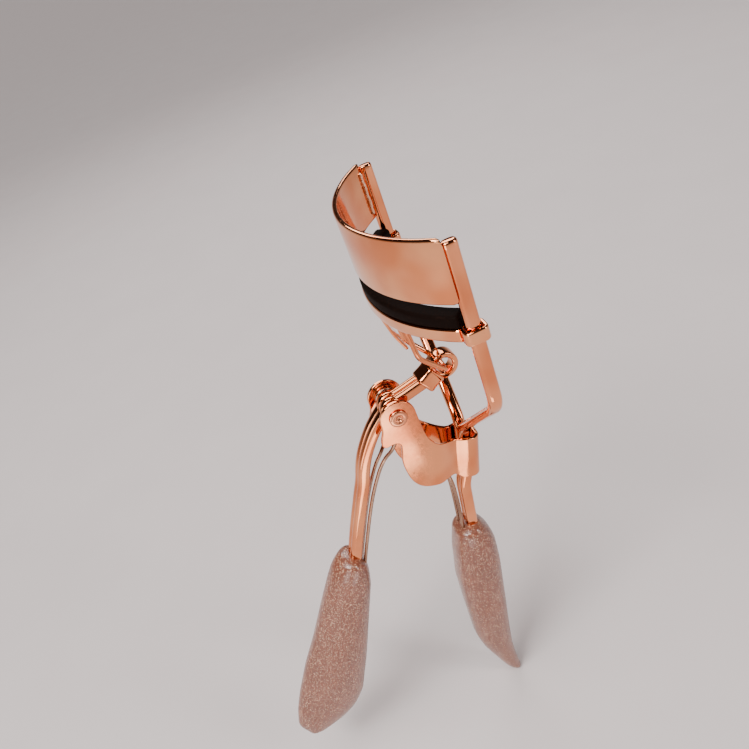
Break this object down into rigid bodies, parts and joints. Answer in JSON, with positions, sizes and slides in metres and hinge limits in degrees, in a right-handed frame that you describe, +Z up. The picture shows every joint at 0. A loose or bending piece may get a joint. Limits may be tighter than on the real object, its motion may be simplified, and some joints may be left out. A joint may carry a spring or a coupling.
{
  "type": "eyelash curler",
  "caption": "Scissor-action eyelash curler with curved clamp jaws, a sliding padded lower jaw, a riveted spring lever and moulded handle covers.",
  "frame": {"origin": "under the middle of the whole curler, at the height of the lower end of the fixed handle", "axes": "+Z up along the straight guide rods, +X across the jaw from one guide rod to the other, -Y towards the moving handle"},
  "size_m": [0.0374, 0.0532, 0.1051],
  "materials": {
    "rose_gold": "mirror polished rose-gold plating",
    "spring_wire": "plated spring wire",
    "pad_rubber": "smooth soft rubber",
    "glitter_cover": "translucent soft moulding with fine glitter"
  },
  "bodies": {
    "frame": {"upper_jaw_plate": "rose_gold", "plate_braze": "rose_gold", "guide_rod_right": "rose_gold", "guide_rod_left": "rose_gold", "pivot_clip": "rose_gold", "pivot_rivet": "rose_gold", "spring_frame_right": "spring_wire", "spring_frame_left": "spring_wire", "fixed_handle_cover": "glitter_cover"},
    "lever": {"lever_rod_right": "rose_gold", "lever_rod_left": "rose_gold", "crimp_block": "rose_gold", "lever_eye": "rose_gold", "spring_lever_right": "spring_wire", "spring_lever_left": "spring_wire", "moving_handle_cover": "glitter_cover"},
    "lower_jaw": {"lower_jaw_channel": "rose_gold", "jaw_pad": "pad_rubber", "jaw_loop_right": "rose_gold", "jaw_loop_left": "rose_gold", "jaw_bail": "rose_gold", "bail_foot": "rose_gold"}
  },
  "joints": [
    {"name": "lever_hinge", "type": "hinge", "parent": "frame", "child": "lever", "pos_m": [0, 0.01324, 0.07412], "axis": [1, 0, 0], "range_deg": [-14, 9.5], "stiffness_Nm_per_rad": 0.3},
    {"name": "lower_jaw_slide", "type": "slide", "parent": "frame", "child": "lower_jaw", "axis": [0, 0, 1], "range_m": [-0.0026, 0.0018]}
  ],
  "couplings": [
    {"joint": "lower_jaw_slide", "follows": "lever_hinge", "m_per_rad": 0.0099}
  ]
}
